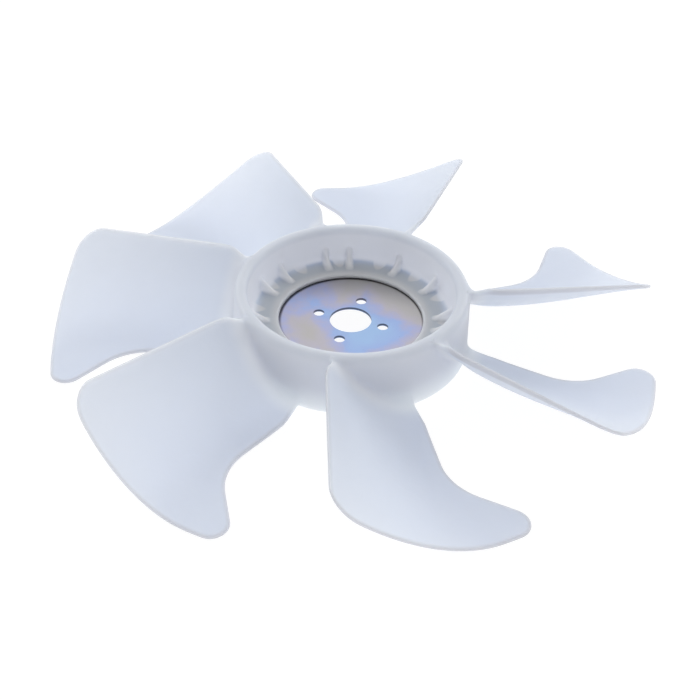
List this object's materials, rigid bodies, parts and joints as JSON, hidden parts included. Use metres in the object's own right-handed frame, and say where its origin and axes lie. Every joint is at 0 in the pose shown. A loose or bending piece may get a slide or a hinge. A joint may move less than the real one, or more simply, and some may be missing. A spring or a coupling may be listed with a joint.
{
  "type": "engine cooling fan",
  "caption": "Moulded plastic engine cooling fan: an open drum hub with sickle-shaped cambered blades at uneven spacing, and a steel mounting plate with a pilot bore and bolt holes.",
  "frame": {"origin": "on the fan's axis, on the underside of the steel plate, which seats on the pump or pulley hub", "axes": "+Z along the axis to the open face of the drum hub; X and Y across, with the first blade near +X"},
  "size_m": [0.3795, 0.38, 0.0477],
  "materials": {
    "moulding": "natural, slightly translucent, satin as moulded",
    "plate": "zinc plated, passivated with a blue and straw bloom"
  },
  "bodies": {
    "root": {"fan_moulding": "moulding", "mounting_plate": "plate"}
  },
  "joints": []
}
